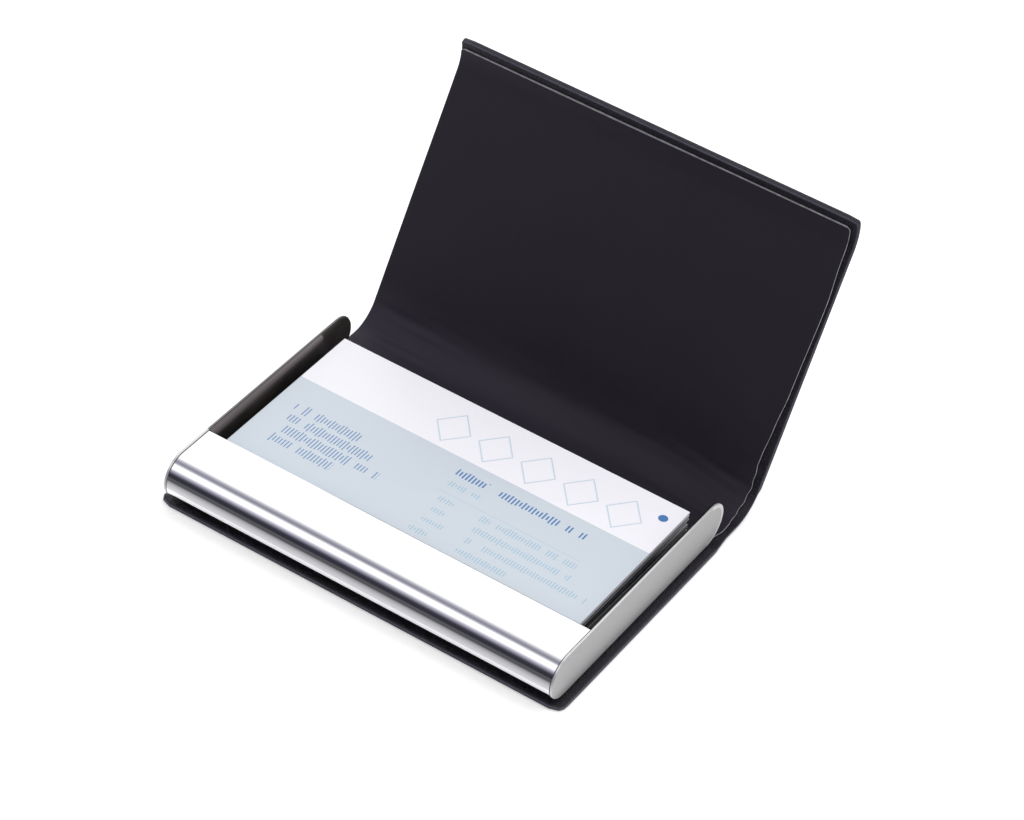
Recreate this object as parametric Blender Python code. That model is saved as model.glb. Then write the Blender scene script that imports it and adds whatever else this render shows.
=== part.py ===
"""Business card case, open at its rest position.

A tray of thin stainless sheet holds the cards: a flat floor, a rolled front edge and a lip that
folds back over the cards, closed at both ends by a flat-oval plate with a black cheek inside it.
The tray is glued on a soft cover of board, outer skin and lining.  Behind the tray the cover is
only skin and lining, so it folds there twice: at the tray, where the spine stands up, and at the
lid.  The lid ends in a curl that closes round the rolled edge, and two magnets hold it there.

Frame: X along the case, Y from the rolled edge to the spine, Z up.  The origin is on the
underside of the cover, below the middle of the tray.
"""

import math

import bmesh
import bpy
from mathutils import Matrix

MM = 0.001

# Cards
CARD_WIDTH = 85 * MM
CARD_DEPTH = 55 * MM
CARD_THICKNESS = 0.4 * MM
CARD_COUNT = 18
CARD_BACK = 24.8 * MM
CARD_SHUFFLE = 0.25 * MM
TOP_CARD_FACE = 10.25 * MM

# Tray
TRAY_LENGTH = 92.9 * MM
TRAY_DEPTH = 64.8 * MM
TRAY_BOTTOM = 1.6 * MM
TRAY_TOP = 12.1 * MM
SHEET = 0.6 * MM
LIP_EDGE = -18.2 * MM
FLOOR_BACK = 28.0 * MM
RIM_STEP = 0.15 * MM
PLATE = 0.5 * MM
PLATE_BEVEL = 0.15 * MM
CHEEK = 1.4 * MM
CHEEK_STEP = 0.15 * MM
FIT = 0.05 * MM

# Cover: thickness of each layer, and the skin that is turned over the edges
SKIN = 0.5 * MM
LINING = 0.4 * MM
BASE_BOARD = 0.55 * MM
LID_BOARD = 0.95 * MM
TURN_WALL = 0.6 * MM
TURN_OVER = 1.1 * MM
COVER_WIDTH = 96.8 * MM
COVER_FRONT = -31.2 * MM
COVER_CORNER = 2.5 * MM
EDGE_ROUND = 0.4 * MM
BOARD_BACK = 27.0 * MM

# Spine and lid at rest: a flat stretch, a bend that turns up by LID_LEAN, the straight lid, its curl
SPINE_WIDTH = 96.0 * MM
LID_WIDTH = 96.0 * MM
SPINE_UNDERSIDE = 0.6 * MM
BEND_START = 37.1 * MM
BEND_RADIUS = 9.0 * MM
LID_LEAN = math.radians(63.4)
LID_STRAIGHT = 53.2 * MM
CURL_RADIUS = 8.0 * MM
CURL_ANGLE = math.radians(50)
FOLD_GAP = 0.5 * MM
SPINE_CLEARANCE = 0.3 * MM
LID_CLEARANCE = 0.7 * MM

# Magnets, in the lid board over the lip
MAGNET_RADIUS = 3.4 * MM
MAGNET_THICKNESS = 0.8 * MM
MAGNET_FROM_CURL = 4.0 * MM
MAGNET_SIDE = 30.0 * MM

ROUND_STEPS = 16

# Levels and lengths that follow from the sizes above
BASE_FACE = SKIN + BASE_BOARD + LINING + 2 * FIT
SOFT_THICKNESS = SKIN + LINING + FIT
SOFT_FACE = SPINE_UNDERSIDE + SOFT_THICKNESS
BEND_INNER = BEND_RADIUS - SOFT_THICKNESS
BEND_CENTRE = SPINE_UNDERSIDE + BEND_RADIUS
LID_THICKNESS = SKIN + LID_BOARD + LINING + 2 * FIT
BEND_LENGTH = BEND_INNER * LID_LEAN
LID_LENGTH = BEND_LENGTH + LID_STRAIGHT + CURL_RADIUS * CURL_ANGLE


def fold_axes():
    """(y of the tray fold, y of the lid fold, their height).

    The first fold stands the spine up SPINE_CLEARANCE behind the plates.  The second lets the
    lid lie flat on the table when open, and LID_CLEARANCE above the plates when closed.
    """
    lean_cos = math.cos(LID_LEAN)
    lean_sin = math.sin(LID_LEAN)
    end_y = BEND_START + BEND_INNER * lean_sin
    end_z = BEND_CENTRE - BEND_INNER * lean_cos
    reach = TRAY_DEPTH / 2 + SPINE_CLEARANCE + SOFT_FACE
    closed_face = TRAY_TOP + LID_CLEARANCE
    offset = (end_z * lean_cos - LID_THICKNESS) / lean_sin
    share = (1 - lean_cos) / lean_sin
    height = (closed_face + LID_THICKNESS + reach - end_y + offset) / (3 - share)
    tray_fold = reach - height
    lid_fold = end_y - height * share - offset
    return tray_fold, lid_fold, height


TRAY_FOLD_Y, LID_FOLD_Y, FOLD_Z = fold_axes()
LID_FOLD_ANGLE = math.atan2(LID_FOLD_Y - BEND_START, BEND_CENTRE - FOLD_Z)


def clear_scene():
    for item in list(bpy.data.objects):
        bpy.data.objects.remove(item, do_unlink=True)


def finish(name, colour, roughness, metallic=0.0):
    """A material with one colour, roughness and metallic value."""
    material = bpy.data.materials.new(name)
    material.use_nodes = True
    shader = material.node_tree.nodes["Principled BSDF"]
    shader.inputs["Base Color"].default_value = (*colour, 1.0)
    shader.inputs["Roughness"].default_value = roughness
    shader.inputs["Metallic"].default_value = metallic
    return material


def fold_empty(name, parent, place):
    """An empty on a fold's axis, which runs along X through it."""
    empty = bpy.data.objects.new(name, None)
    empty.empty_display_size = 10 * MM
    empty.location = place
    empty.parent = parent
    bpy.context.scene.collection.objects.link(empty)
    return empty


def solid(name, rings, material=None, parent=None, origin=(0.0, 0.0, 0.0)):
    """A closed body through rings of equal length, with flat ends, as one named object."""
    mesh = bmesh.new()
    loops = [[mesh.verts.new(point) for point in ring] for ring in rings]
    count = len(loops[0])
    for first, second in zip(loops, loops[1:]):
        for i in range(count):
            j = (i + 1) % count
            mesh.faces.new((first[i], first[j], second[j], second[i]))
    mesh.faces.new(loops[0])
    mesh.faces.new(list(reversed(loops[-1])))
    bmesh.ops.recalc_face_normals(mesh, faces=mesh.faces)
    data = bpy.data.meshes.new(name)
    mesh.to_mesh(data)
    mesh.free()
    data.transform(Matrix.Translation([-value for value in origin]))
    item = bpy.data.objects.new(name, data)
    item.parent = parent
    bpy.context.scene.collection.objects.link(item)
    if material:
        data.materials.append(material)
    return item


def cut(item, *cutters):
    """Takes the cutters out of the item.  They stay as hidden guides."""
    for cutter in cutters:
        cutter.hide_render = True
        cutter.display_type = "WIRE"
        boolean = item.modifiers.new("cut_" + cutter.name, "BOOLEAN")
        boolean.operation = "DIFFERENCE"
        boolean.object = cutter


def across(points, near_x, far_x):
    """Two rings: a YZ outline at one X and at another."""
    return [[(x, y, z) for y, z in points] for x in (near_x, far_x)]


def flat_oval(inset):
    """YZ outline of the end plates, drawn in by inset: two straight runs and two half circles."""
    radius = (TRAY_TOP - TRAY_BOTTOM) / 2
    middle = (TRAY_TOP + TRAY_BOTTOM) / 2
    centre = TRAY_DEPTH / 2 - radius
    points = []
    for side, start in ((1, -90), (-1, 90)):
        for i in range(ROUND_STEPS + 1):
            angle = math.radians(start + 180 * i / ROUND_STEPS)
            across_y = side * centre + (radius - inset) * math.cos(angle)
            points.append((across_y, middle + (radius - inset) * math.sin(angle)))
    return points


def shell_outline():
    """YZ outline of the bent sheet: floor, rolled front edge and lip, one sheet thick."""
    middle = (TRAY_TOP + TRAY_BOTTOM) / 2
    top = TRAY_TOP - RIM_STEP
    outer = (top - TRAY_BOTTOM) / 2
    centre_z = (top + TRAY_BOTTOM) / 2
    centre_y = -TRAY_DEPTH / 2 + (TRAY_TOP - middle)
    outside = [(FLOOR_BACK, TRAY_BOTTOM)]
    inside = [(FLOOR_BACK, TRAY_BOTTOM + SHEET)]
    for i in range(ROUND_STEPS + 1):
        angle = math.radians(-90 - 180 * i / ROUND_STEPS)
        for points, radius in ((outside, outer), (inside, outer - SHEET)):
            points.append((centre_y + radius * math.cos(angle), centre_z + radius * math.sin(angle)))
    outside.append((LIP_EDGE, top))
    inside.append((LIP_EDGE, top - SHEET))
    return outside + inside[::-1]


def cheek_outline():
    """YZ outline of a cheek: just inside the end plate's, and stepped in to pass inside the sheet."""
    low = TRAY_BOTTOM + RIM_STEP + SHEET + FIT
    high = TRAY_TOP - RIM_STEP - SHEET - FIT
    inner = flat_oval(RIM_STEP + SHEET + FIT)
    outer = flat_oval(CHEEK_STEP)
    back = [point for point in outer[: ROUND_STEPS + 1] if point[0] > FLOOR_BACK + 2 * FIT or point[1] > high]
    step_y = LIP_EDGE + 2 * FIT
    top = [(step_y, TRAY_TOP - CHEEK_STEP), (step_y, high)]
    front = inner[ROUND_STEPS + 1 :]
    return back + top + front + [(back[0][0], low)]


def make_tray(steel, plate_finish, cheek_finish):
    shell_half = TRAY_LENGTH / 2 - PLATE - FIT
    solid("steel_shell", across(shell_outline(), -shell_half, shell_half), steel)
    for side, word in ((-1, "left"), (1, "right")):
        outside = side * TRAY_LENGTH / 2
        inside = side * (TRAY_LENGTH / 2 - PLATE)
        rings = across(flat_oval(0), inside, outside - side * PLATE_BEVEL)
        rings.append([(outside, y, z) for y, z in flat_oval(PLATE_BEVEL)])
        solid("end_plate_" + word, rings, plate_finish)
        rings = across(cheek_outline(), inside - side * FIT, inside - side * (FIT + CHEEK))
        solid("cheek_" + word, rings, cheek_finish)


def roll_room(low, high):
    """The furthest forward that a card between these two levels can lie inside the rolled edge."""
    outer = (TRAY_TOP - RIM_STEP - TRAY_BOTTOM) / 2
    centre_z = TRAY_BOTTOM + outer
    centre_y = -TRAY_DEPTH / 2 + (TRAY_TOP - TRAY_BOTTOM) / 2
    radius = outer - SHEET - 2 * FIT
    height = max(abs(low - centre_z), abs(high - centre_z))
    return centre_y - math.sqrt(max(radius**2 - height**2, 0.0))


def make_cards(paper):
    """The stack fills the tray from its floor to the top card.

    The rolled edge pushes the lowest cards back, and each card is shuffled a little.
    """
    floor = TRAY_BOTTOM + SHEET + FIT
    pitch = (TOP_CARD_FACE - CARD_THICKNESS - floor) / (CARD_COUNT - 1)
    for i in range(CARD_COUNT):
        below = CARD_COUNT - 1 - i
        low = floor + pitch * i
        high = low + CARD_THICKNESS
        shift = CARD_SHUFFLE * math.sin(2.4 * below)
        front = CARD_BACK - CARD_DEPTH + CARD_SHUFFLE * (math.cos(1.7 * below) - 1)
        front = max(front, roll_room(low, high))
        back = front + CARD_DEPTH
        outline = [(front, low), (back, low), (back, high), (front, high)]
        rings = across(outline, shift - CARD_WIDTH / 2, shift + CARD_WIDTH / 2)
        solid(f"card_{i + 1:02d}", rings, paper)


def rounded_sheet(half_width, front, back, corner):
    """XY outline of a sheet whose two front corners are round."""
    points = [(half_width, back), (-half_width, back)]
    for centre_x, start in ((-half_width + corner, 180), (half_width - corner, 270)):
        for i in range(ROUND_STEPS // 2 + 1):
            angle = math.radians(start + 180 * i / ROUND_STEPS)
            y = front + corner + corner * math.sin(angle)
            points.append((centre_x + corner * math.cos(angle), y))
    return points


def slab(name, outline, low, high, material=None):
    rings = [[(x, y, z) for x, y in outline] for z in (low, high)]
    return solid(name, rings, material)


def make_base(skin, board, lining):
    """Skin turned over the board's edges, the board, and the lining that runs on to the fold."""
    half = COVER_WIDTH / 2
    fold_end = TRAY_FOLD_Y - FOLD_GAP / 2
    board_low = SKIN + FIT
    lining_low = board_low + BASE_BOARD + FIT
    rings = []
    for inset, z in ((EDGE_ROUND, 0.0), (0.0, EDGE_ROUND), (0.0, BASE_FACE - EDGE_ROUND / 2),
                     (EDGE_ROUND / 2, BASE_FACE)):
        outline = rounded_sheet(half - inset, COVER_FRONT + inset, fold_end, COVER_CORNER - inset)
        rings.append([(x, y, z) for x, y in outline])
    base_skin = solid("base_skin", rings, skin)
    wall = TURN_WALL
    turn = TURN_WALL + TURN_OVER
    board_room = rounded_sheet(half - wall, COVER_FRONT + wall, BOARD_BACK, COVER_CORNER - wall)
    lining_room = rounded_sheet(half - turn, COVER_FRONT + turn, fold_end + SHEET, COVER_CORNER - turn / 2)
    cut(
        base_skin,
        slab("room_for_base_board", board_room, SKIN, lining_low),
        slab("room_for_base_lining", lining_room, lining_low - FIT / 2, BASE_FACE + LINING),
        solid("under_the_base_fold", under_fold_rings(half), None),
    )
    board_outline = rounded_sheet(
        half - wall - FIT, COVER_FRONT + wall + FIT, BOARD_BACK - FIT, COVER_CORNER - wall
    )
    slab("base_board", board_outline, board_low, board_low + BASE_BOARD, board)
    lining_outline = rounded_sheet(
        half - turn - FIT, COVER_FRONT + turn + FIT, fold_end, COVER_CORNER - turn / 2
    )
    slab("base_lining", lining_outline, lining_low, BASE_FACE, lining)


def under_fold_rings(half):
    """The wedge under the cover behind the board, where the skin lifts off the table."""
    below = -1 * MM
    outline = [
        (BOARD_BACK + TURN_WALL, below),
        (TRAY_FOLD_Y + 1 * MM, below),
        (TRAY_FOLD_Y + 1 * MM, SPINE_UNDERSIDE),
        (BOARD_BACK + TURN_WALL + 3 * SPINE_UNDERSIDE, SPINE_UNDERSIDE),
        (BOARD_BACK + TURN_WALL, 0.0),
    ]
    return across(outline, -half - 1 * MM, half + 1 * MM)


def along_cover(distance, depth):
    """(y, z) of a point this far along the cover's inner face from the bend, and this deep in it."""
    if distance < 0:
        return BEND_START + distance, SOFT_FACE - depth
    if distance < BEND_LENGTH:
        angle = distance / BEND_INNER
        radius = BEND_INNER + depth
        return BEND_START + radius * math.sin(angle), BEND_CENTRE - radius * math.cos(angle)
    lean_cos = math.cos(LID_LEAN)
    lean_sin = math.sin(LID_LEAN)
    straight = min(distance - BEND_LENGTH, LID_STRAIGHT)
    y = BEND_START + BEND_INNER * lean_sin + straight * lean_cos
    z = BEND_CENTRE - BEND_INNER * lean_cos + straight * lean_sin
    turned = max(distance - BEND_LENGTH - LID_STRAIGHT, 0.0) / CURL_RADIUS
    centre_y = y - CURL_RADIUS * lean_sin
    centre_z = z + CURL_RADIUS * lean_cos
    radius = CURL_RADIUS + depth
    angle = LID_LEAN + turned
    return centre_y + radius * math.sin(angle), centre_z - radius * math.cos(angle)


def stations(start, end):
    """Distances along the cover between two of them, closer together where it bends."""
    wanted = [start, end, 0.0, BEND_LENGTH, BEND_LENGTH + LID_STRAIGHT]
    bend_step = BEND_LENGTH / 10
    wanted += [bend_step * i for i in range(11)]
    curl_step = (LID_LENGTH - BEND_LENGTH - LID_STRAIGHT) / 8
    wanted += [BEND_LENGTH + LID_STRAIGHT + curl_step * i for i in range(9)]
    inside = sorted(value for value in wanted if start <= value <= end)
    kept = [inside[0]]
    for value in inside[1:]:
        if value - kept[-1] > FIT:
            kept.append(value)
    kept[-1] = end
    return kept


def cover_layer(name, start, end, inner, outer, half_width, material=None, parent=None, origin=None):
    """A layer of the cover from one distance to another, between two depths.

    outer may be a number or a function of the distance.
    """
    rings = []
    for distance in stations(start, end):
        deep = outer(distance) if callable(outer) else outer
        near = along_cover(distance, inner)
        far = along_cover(distance, deep)
        rings.append(
            [
                (-half_width, *near),
                (half_width, *near),
                (half_width, *far),
                (-half_width, *far),
            ]
        )
    return solid(name, rings, material, parent, origin or (0.0, 0.0, 0.0))


def make_spine(skin, lining, parent, origin):
    """The soft strip between the two folds: lining inside, skin outside."""
    start = TRAY_FOLD_Y + FOLD_GAP / 2 - BEND_START
    end = BEND_INNER * LID_FOLD_ANGLE - FOLD_GAP / 2
    half = SPINE_WIDTH / 2
    cover_layer("spine_lining", start, end, 0.0, LINING, half - TURN_OVER, lining, parent, origin)
    cover_layer("spine_skin", start, end, LINING + FIT, SOFT_THICKNESS, half, skin, parent, origin)


def lid_outer_depth(distance):
    """The lid's thickness: soft at the bend, then full over the board."""
    ramp = 1.5 * MM
    grown = min(max((distance - BEND_LENGTH + ramp) / ramp, 0.0), 1.0)
    return SOFT_THICKNESS + grown * (LID_THICKNESS - SOFT_THICKNESS)


def make_lid(skin, board, lining, magnet, parent, origin):
    start = BEND_INNER * LID_FOLD_ANGLE + FOLD_GAP / 2
    half = LID_WIDTH / 2
    wall = TURN_WALL
    turn = TURN_WALL + TURN_OVER
    board_start = BEND_LENGTH + FIT
    board_depth = LINING + FIT
    board_end = LID_LENGTH - wall - FIT
    lining_end = LID_LENGTH - wall

    lid_skin = cover_layer(
        "lid_skin", start, LID_LENGTH, 0.0, lid_outer_depth, half, skin, parent, origin
    )
    board_room = cover_layer(
        "room_for_lid_board", board_start - FIT, board_end + FIT, LINING, LID_THICKNESS - SKIN,
        half - wall, None, parent, origin,
    )
    lining_room = cover_layer(
        "room_for_lid_lining", start - SHEET, lining_end + FIT, -LINING, LINING + FIT / 2,
        half - turn, None, parent, origin,
    )
    cut(lid_skin, board_room, lining_room)

    lid_board = cover_layer(
        "lid_board", board_start, board_end, board_depth, board_depth + LID_BOARD,
        half - wall - FIT, board, parent, origin,
    )
    cover_layer(
        "lid_lining", start, lining_end, 0.0, LINING, half - turn - FIT, lining, parent, origin
    )
    place = BEND_LENGTH + LID_STRAIGHT - MAGNET_FROM_CURL
    for side, word in ((-1, "left"), (1, "right")):
        middle = (LINING + LID_THICKNESS - SKIN) / 2
        name = "lid_magnet_" + word
        disc(name, side * MAGNET_SIDE, place, middle, MAGNET_RADIUS, MAGNET_THICKNESS, magnet, parent, origin)
        room = disc(
            "room_for_magnet_" + word, side * MAGNET_SIDE, place, middle,
            MAGNET_RADIUS + 2 * FIT, 2 * LID_THICKNESS, None, parent, origin,
        )
        cut(lid_board, room)


def disc(name, x, distance, depth, radius, thickness, material, parent, origin):
    """A round disc lying in the straight part of the lid."""
    rings = []
    for level in (depth - thickness / 2, depth + thickness / 2):
        ring = []
        for i in range(2 * ROUND_STEPS):
            angle = math.pi * i / ROUND_STEPS
            y, z = along_cover(distance + radius * math.sin(angle), level)
            ring.append((x + radius * math.cos(angle), y, z))
        rings.append(ring)
    return solid(name, rings, material, parent, origin)


def main():
    clear_scene()
    steel = finish("polished_steel", (0.75, 0.75, 0.76), 0.08, 1.0)
    plate_finish = finish("satin_metal", (0.42, 0.42, 0.42), 0.38, 0.85)
    cheek_finish = finish("black_moulding", (0.02, 0.02, 0.02), 0.3)
    paper = finish("card_stock", (0.86, 0.88, 0.93), 0.55)
    skin = finish("black_leather", (0.012, 0.012, 0.014), 0.55)
    lining = finish("black_lining", (0.02, 0.019, 0.024), 0.6)
    board = finish("grey_board", (0.3, 0.28, 0.25), 0.9)
    magnet = finish("magnet_nickel", (0.55, 0.53, 0.5), 0.3, 1.0)

    tray_fold = (0.0, TRAY_FOLD_Y, FOLD_Z)
    lid_fold = (0.0, LID_FOLD_Y, FOLD_Z)
    spine_empty = fold_empty("spine_fold", None, tray_fold)
    lid_empty = fold_empty("lid_fold", spine_empty, (0.0, LID_FOLD_Y - TRAY_FOLD_Y, 0.0))

    make_tray(steel, plate_finish, cheek_finish)
    make_cards(paper)
    make_base(skin, board, lining)
    make_spine(skin, lining, spine_empty, tray_fold)
    make_lid(skin, board, lining, magnet, lid_empty, lid_fold)


main()
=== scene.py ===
"""Looks of an open business card case: sheet-metal tray, cards, and a folded leather cover.

Lengths are in metres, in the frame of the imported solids: X along the case, Y from the rolled edge
to the spine, Z up.  The cover is drawn from one path in the YZ plane, the line of its inner face.
A place on it is (x, distance, depth): x along the case, distance along the path from the start of
the bend, and depth into the cover.
"""

import math

import bpy
import numpy as np
from mathutils import Matrix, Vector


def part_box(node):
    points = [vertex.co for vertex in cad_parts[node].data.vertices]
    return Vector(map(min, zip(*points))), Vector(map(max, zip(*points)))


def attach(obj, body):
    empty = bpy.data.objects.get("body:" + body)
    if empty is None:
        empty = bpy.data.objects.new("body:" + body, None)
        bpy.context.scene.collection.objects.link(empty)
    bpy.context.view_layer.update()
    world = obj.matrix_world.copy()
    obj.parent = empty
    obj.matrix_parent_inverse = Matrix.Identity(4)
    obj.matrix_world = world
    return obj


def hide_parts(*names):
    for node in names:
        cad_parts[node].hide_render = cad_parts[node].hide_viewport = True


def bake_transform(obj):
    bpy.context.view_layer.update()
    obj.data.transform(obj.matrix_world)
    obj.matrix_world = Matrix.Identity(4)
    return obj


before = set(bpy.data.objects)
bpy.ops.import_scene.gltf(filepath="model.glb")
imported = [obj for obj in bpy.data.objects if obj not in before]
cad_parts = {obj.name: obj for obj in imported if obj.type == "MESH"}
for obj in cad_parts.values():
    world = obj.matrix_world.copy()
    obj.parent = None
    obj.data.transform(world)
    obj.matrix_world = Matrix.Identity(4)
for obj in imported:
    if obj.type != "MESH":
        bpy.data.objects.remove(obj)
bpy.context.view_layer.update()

bl_info = {
    "name": "Business card case",
    "version": (1, 0, 0),
    "blender": (4, 5, 0),
    "location": "View3D > Sidebar > Card case",
    "description": "Builds the visible pieces of a card case round its packed solids",
    "category": "Add Mesh",
}

MM = 0.001
PLATE_LOW, PLATE_HIGH = (np.array(corner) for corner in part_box("end_plate_right"))
SHELL_LOW, SHELL_HIGH = (np.array(corner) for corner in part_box("steel_shell"))
CHEEK_LOW, CHEEK_HIGH = (np.array(corner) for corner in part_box("cheek_right"))
CARD_LOW, CARD_HIGH = (np.array(corner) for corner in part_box("card_18"))
COVER_LOW, COVER_HIGH = (np.array(corner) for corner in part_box("base_skin"))
SPINE_LOW, SPINE_HIGH = (np.array(corner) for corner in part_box("spine_skin"))


def length(name, description, default):
    return bpy.props.FloatProperty(
        name=name, description=description, default=default, unit="LENGTH", precision=5
    )


def number(name, description, default):
    return bpy.props.FloatProperty(name=name, description=description, default=default)


def angle(name, description, degrees):
    return bpy.props.FloatProperty(
        name=name, description=description, default=math.radians(degrees), subtype="ANGLE"
    )


def colour(name, description, default):
    return bpy.props.FloatVectorProperty(
        name=name, description=description, default=default, subtype="COLOR", min=0, max=1
    )


class TraySizes(bpy.types.PropertyGroup):
    sheet: length("Sheet", "Thickness of the bent sheet", 0.6 * MM)
    lip_edge: length("Lip edge", "Y of the lip's free edge", -18.2 * MM)
    floor_back: length("Floor back", "Y of the floor's back edge", 28.0 * MM)
    rim: length("Plate rim", "Rounding of the end plates' outer edge", 0.15 * MM)
    seam: length("Seam", "Extra gap between the sheet's ends and the plates", 0.14 * MM)
    cheek_round: length("Cheek rounding", "Rounding of the cheeks' inner edge", 1.1 * MM)
    cheek_taper: number("Cheek taper", "Share of the cheek's thickness lost at its back end", 0.6)
    # The cheek's paler side that stops here is a painted sheen
    cheek_end: length("Cheek end", "Y where the cheek's rubbed side stops", 21.0 * MM)
    steel: colour("Steel", "Polished sheet", (0.86, 0.86, 0.88))
    satin: colour("Satin", "End plates", (0.46, 0.455, 0.46))
    cheek: colour("Cheek", "Moulded cheeks", (0.028, 0.024, 0.023))


class CardSizes(bpy.types.PropertyGroup):
    edge: length("Edge", "Rounding of the cut edge", 0.04 * MM)
    band: length("Band", "Y where the tinted panel ends", 9.2 * MM)
    paper: colour("Paper", "Bare stock", (0.95, 0.94, 1.0))
    panel: colour("Panel", "Tinted panel", (0.63, 0.695, 0.765))
    ink: colour("Ink", "Strong print", (0.07, 0.20, 0.47))
    pale_ink: colour("Pale ink", "Light print", (0.36, 0.53, 0.68))


class CoverSizes(bpy.types.PropertyGroup):
    bend_start: length("Bend start", "Y where the cover turns up", 37.1 * MM)
    bend: length("Bend", "Radius of the inner face in the bend", 8.05 * MM)
    inner_level: length("Inner level", "Z of the inner face on the flat", 1.55 * MM)
    lean: angle("Lean", "Slope of the straight lid", 63.4)
    straight: length("Straight", "Length of the straight lid", 53.2 * MM)
    curl: length("Curl", "Radius of the inner face in the curl", 8.0 * MM)
    curl_turn: angle("Curl turn", "Angle that the curl turns", 50)
    base_thick: length("Base", "Thickness of the base cover", 1.55 * MM)
    soft_thick: length("Fold", "Thickness of the cover where it folds", 0.95 * MM)
    lid_thick: length("Lid", "Thickness of the lid", 1.95 * MM)
    skin: length("Skin", "Thickness of the leather", 0.32 * MM)
    lining: length("Lining", "Thickness of the lining's edge", 0.30 * MM)
    step: length("Step", "How far the turned border lies below the lining's face", 0.38 * MM)
    border: length("Border", "Width of the leather turned in under the lining", 3.2 * MM)
    front_margin: length("Front margin", "From the base's front edge to the lining", 2.9 * MM)
    end_margin: length("End margin", "From the lid's free edge to the lining", 1.75 * MM)
    fold_round: length("Edge rounding", "Radius of the leather over an edge", 0.55 * MM)
    base_corner: length("Base corner", "Radius of the base's front corners", 2.5 * MM)
    lid_corner: length("Lid corner", "Radius of the lid's corners", 1.1 * MM)
    leather: colour("Leather", "Outer leather", (0.0095, 0.0085, 0.0125))
    inside: colour("Lining colour", "Lining", (0.0098, 0.0076, 0.0132))
    # Colour of the painted highlight along the leather's folded edges
    wear_and_painted_light: colour("Worn edge", "Leather rubbed paler along its folded edges", (0.078, 0.071, 0.098))
    raw: colour("Raw edge", "Cut edge of the lining", (0.42, 0.405, 0.44))
    board: colour("Board", "Hidden board", (0.30, 0.27, 0.22))
    nickel: colour("Nickel", "Hidden magnets", (0.58, 0.56, 0.52))


class StageSizes(bpy.types.PropertyGroup):
    floor: colour("Floor", "Pale floor", (0.93, 0.93, 0.935))
    world: number("World", "Strength of the soft light", 0.82)
    key: number("Key", "Power of the overhead panel in watts", 5.0)


def cover_sizes():
    return bpy.context.scene.card_case_cover


# Shader building


def scaled(tone, by):
    return tuple(by * part for part in tone)


def math_method(operation, swapped=False):
    """A method that adds a Math node.  swapped is for a plain number written before the socket."""

    def method(self, *others):
        numbers = (self, *others)
        return self.math(operation, numbers[::-1] if swapped else numbers)

    return method


class Value:
    """A socket that carries a number, with the arithmetic that adds Math nodes."""

    def __init__(self, shader, socket):
        self.shader = shader
        self.socket = socket

    def math(self, operation, numbers, clamp=False):
        settings = {"operation": operation, "use_clamp": clamp}
        node = self.shader.node("ShaderNodeMath", settings, dict(enumerate(numbers)))
        return Value(self.shader, node.outputs[0])

    __add__ = __radd__ = math_method("ADD")
    __sub__ = math_method("SUBTRACT")
    __rsub__ = math_method("SUBTRACT", swapped=True)
    __mul__ = __rmul__ = math_method("MULTIPLY")
    __truediv__ = math_method("DIVIDE")
    __lt__ = math_method("LESS_THAN")
    __gt__ = math_method("GREATER_THAN")
    __abs__ = math_method("ABSOLUTE")
    floor = math_method("FLOOR")
    fraction = math_method("FRACT")
    largest = math_method("MAXIMUM")
    angle_from = math_method("ARCTAN2")

    def step(self, low, high):
        """0 below low, 1 above high, straight between them."""
        return self.math("MULTIPLY", (self - low, 1 / (high - low)), clamp=True)


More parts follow.
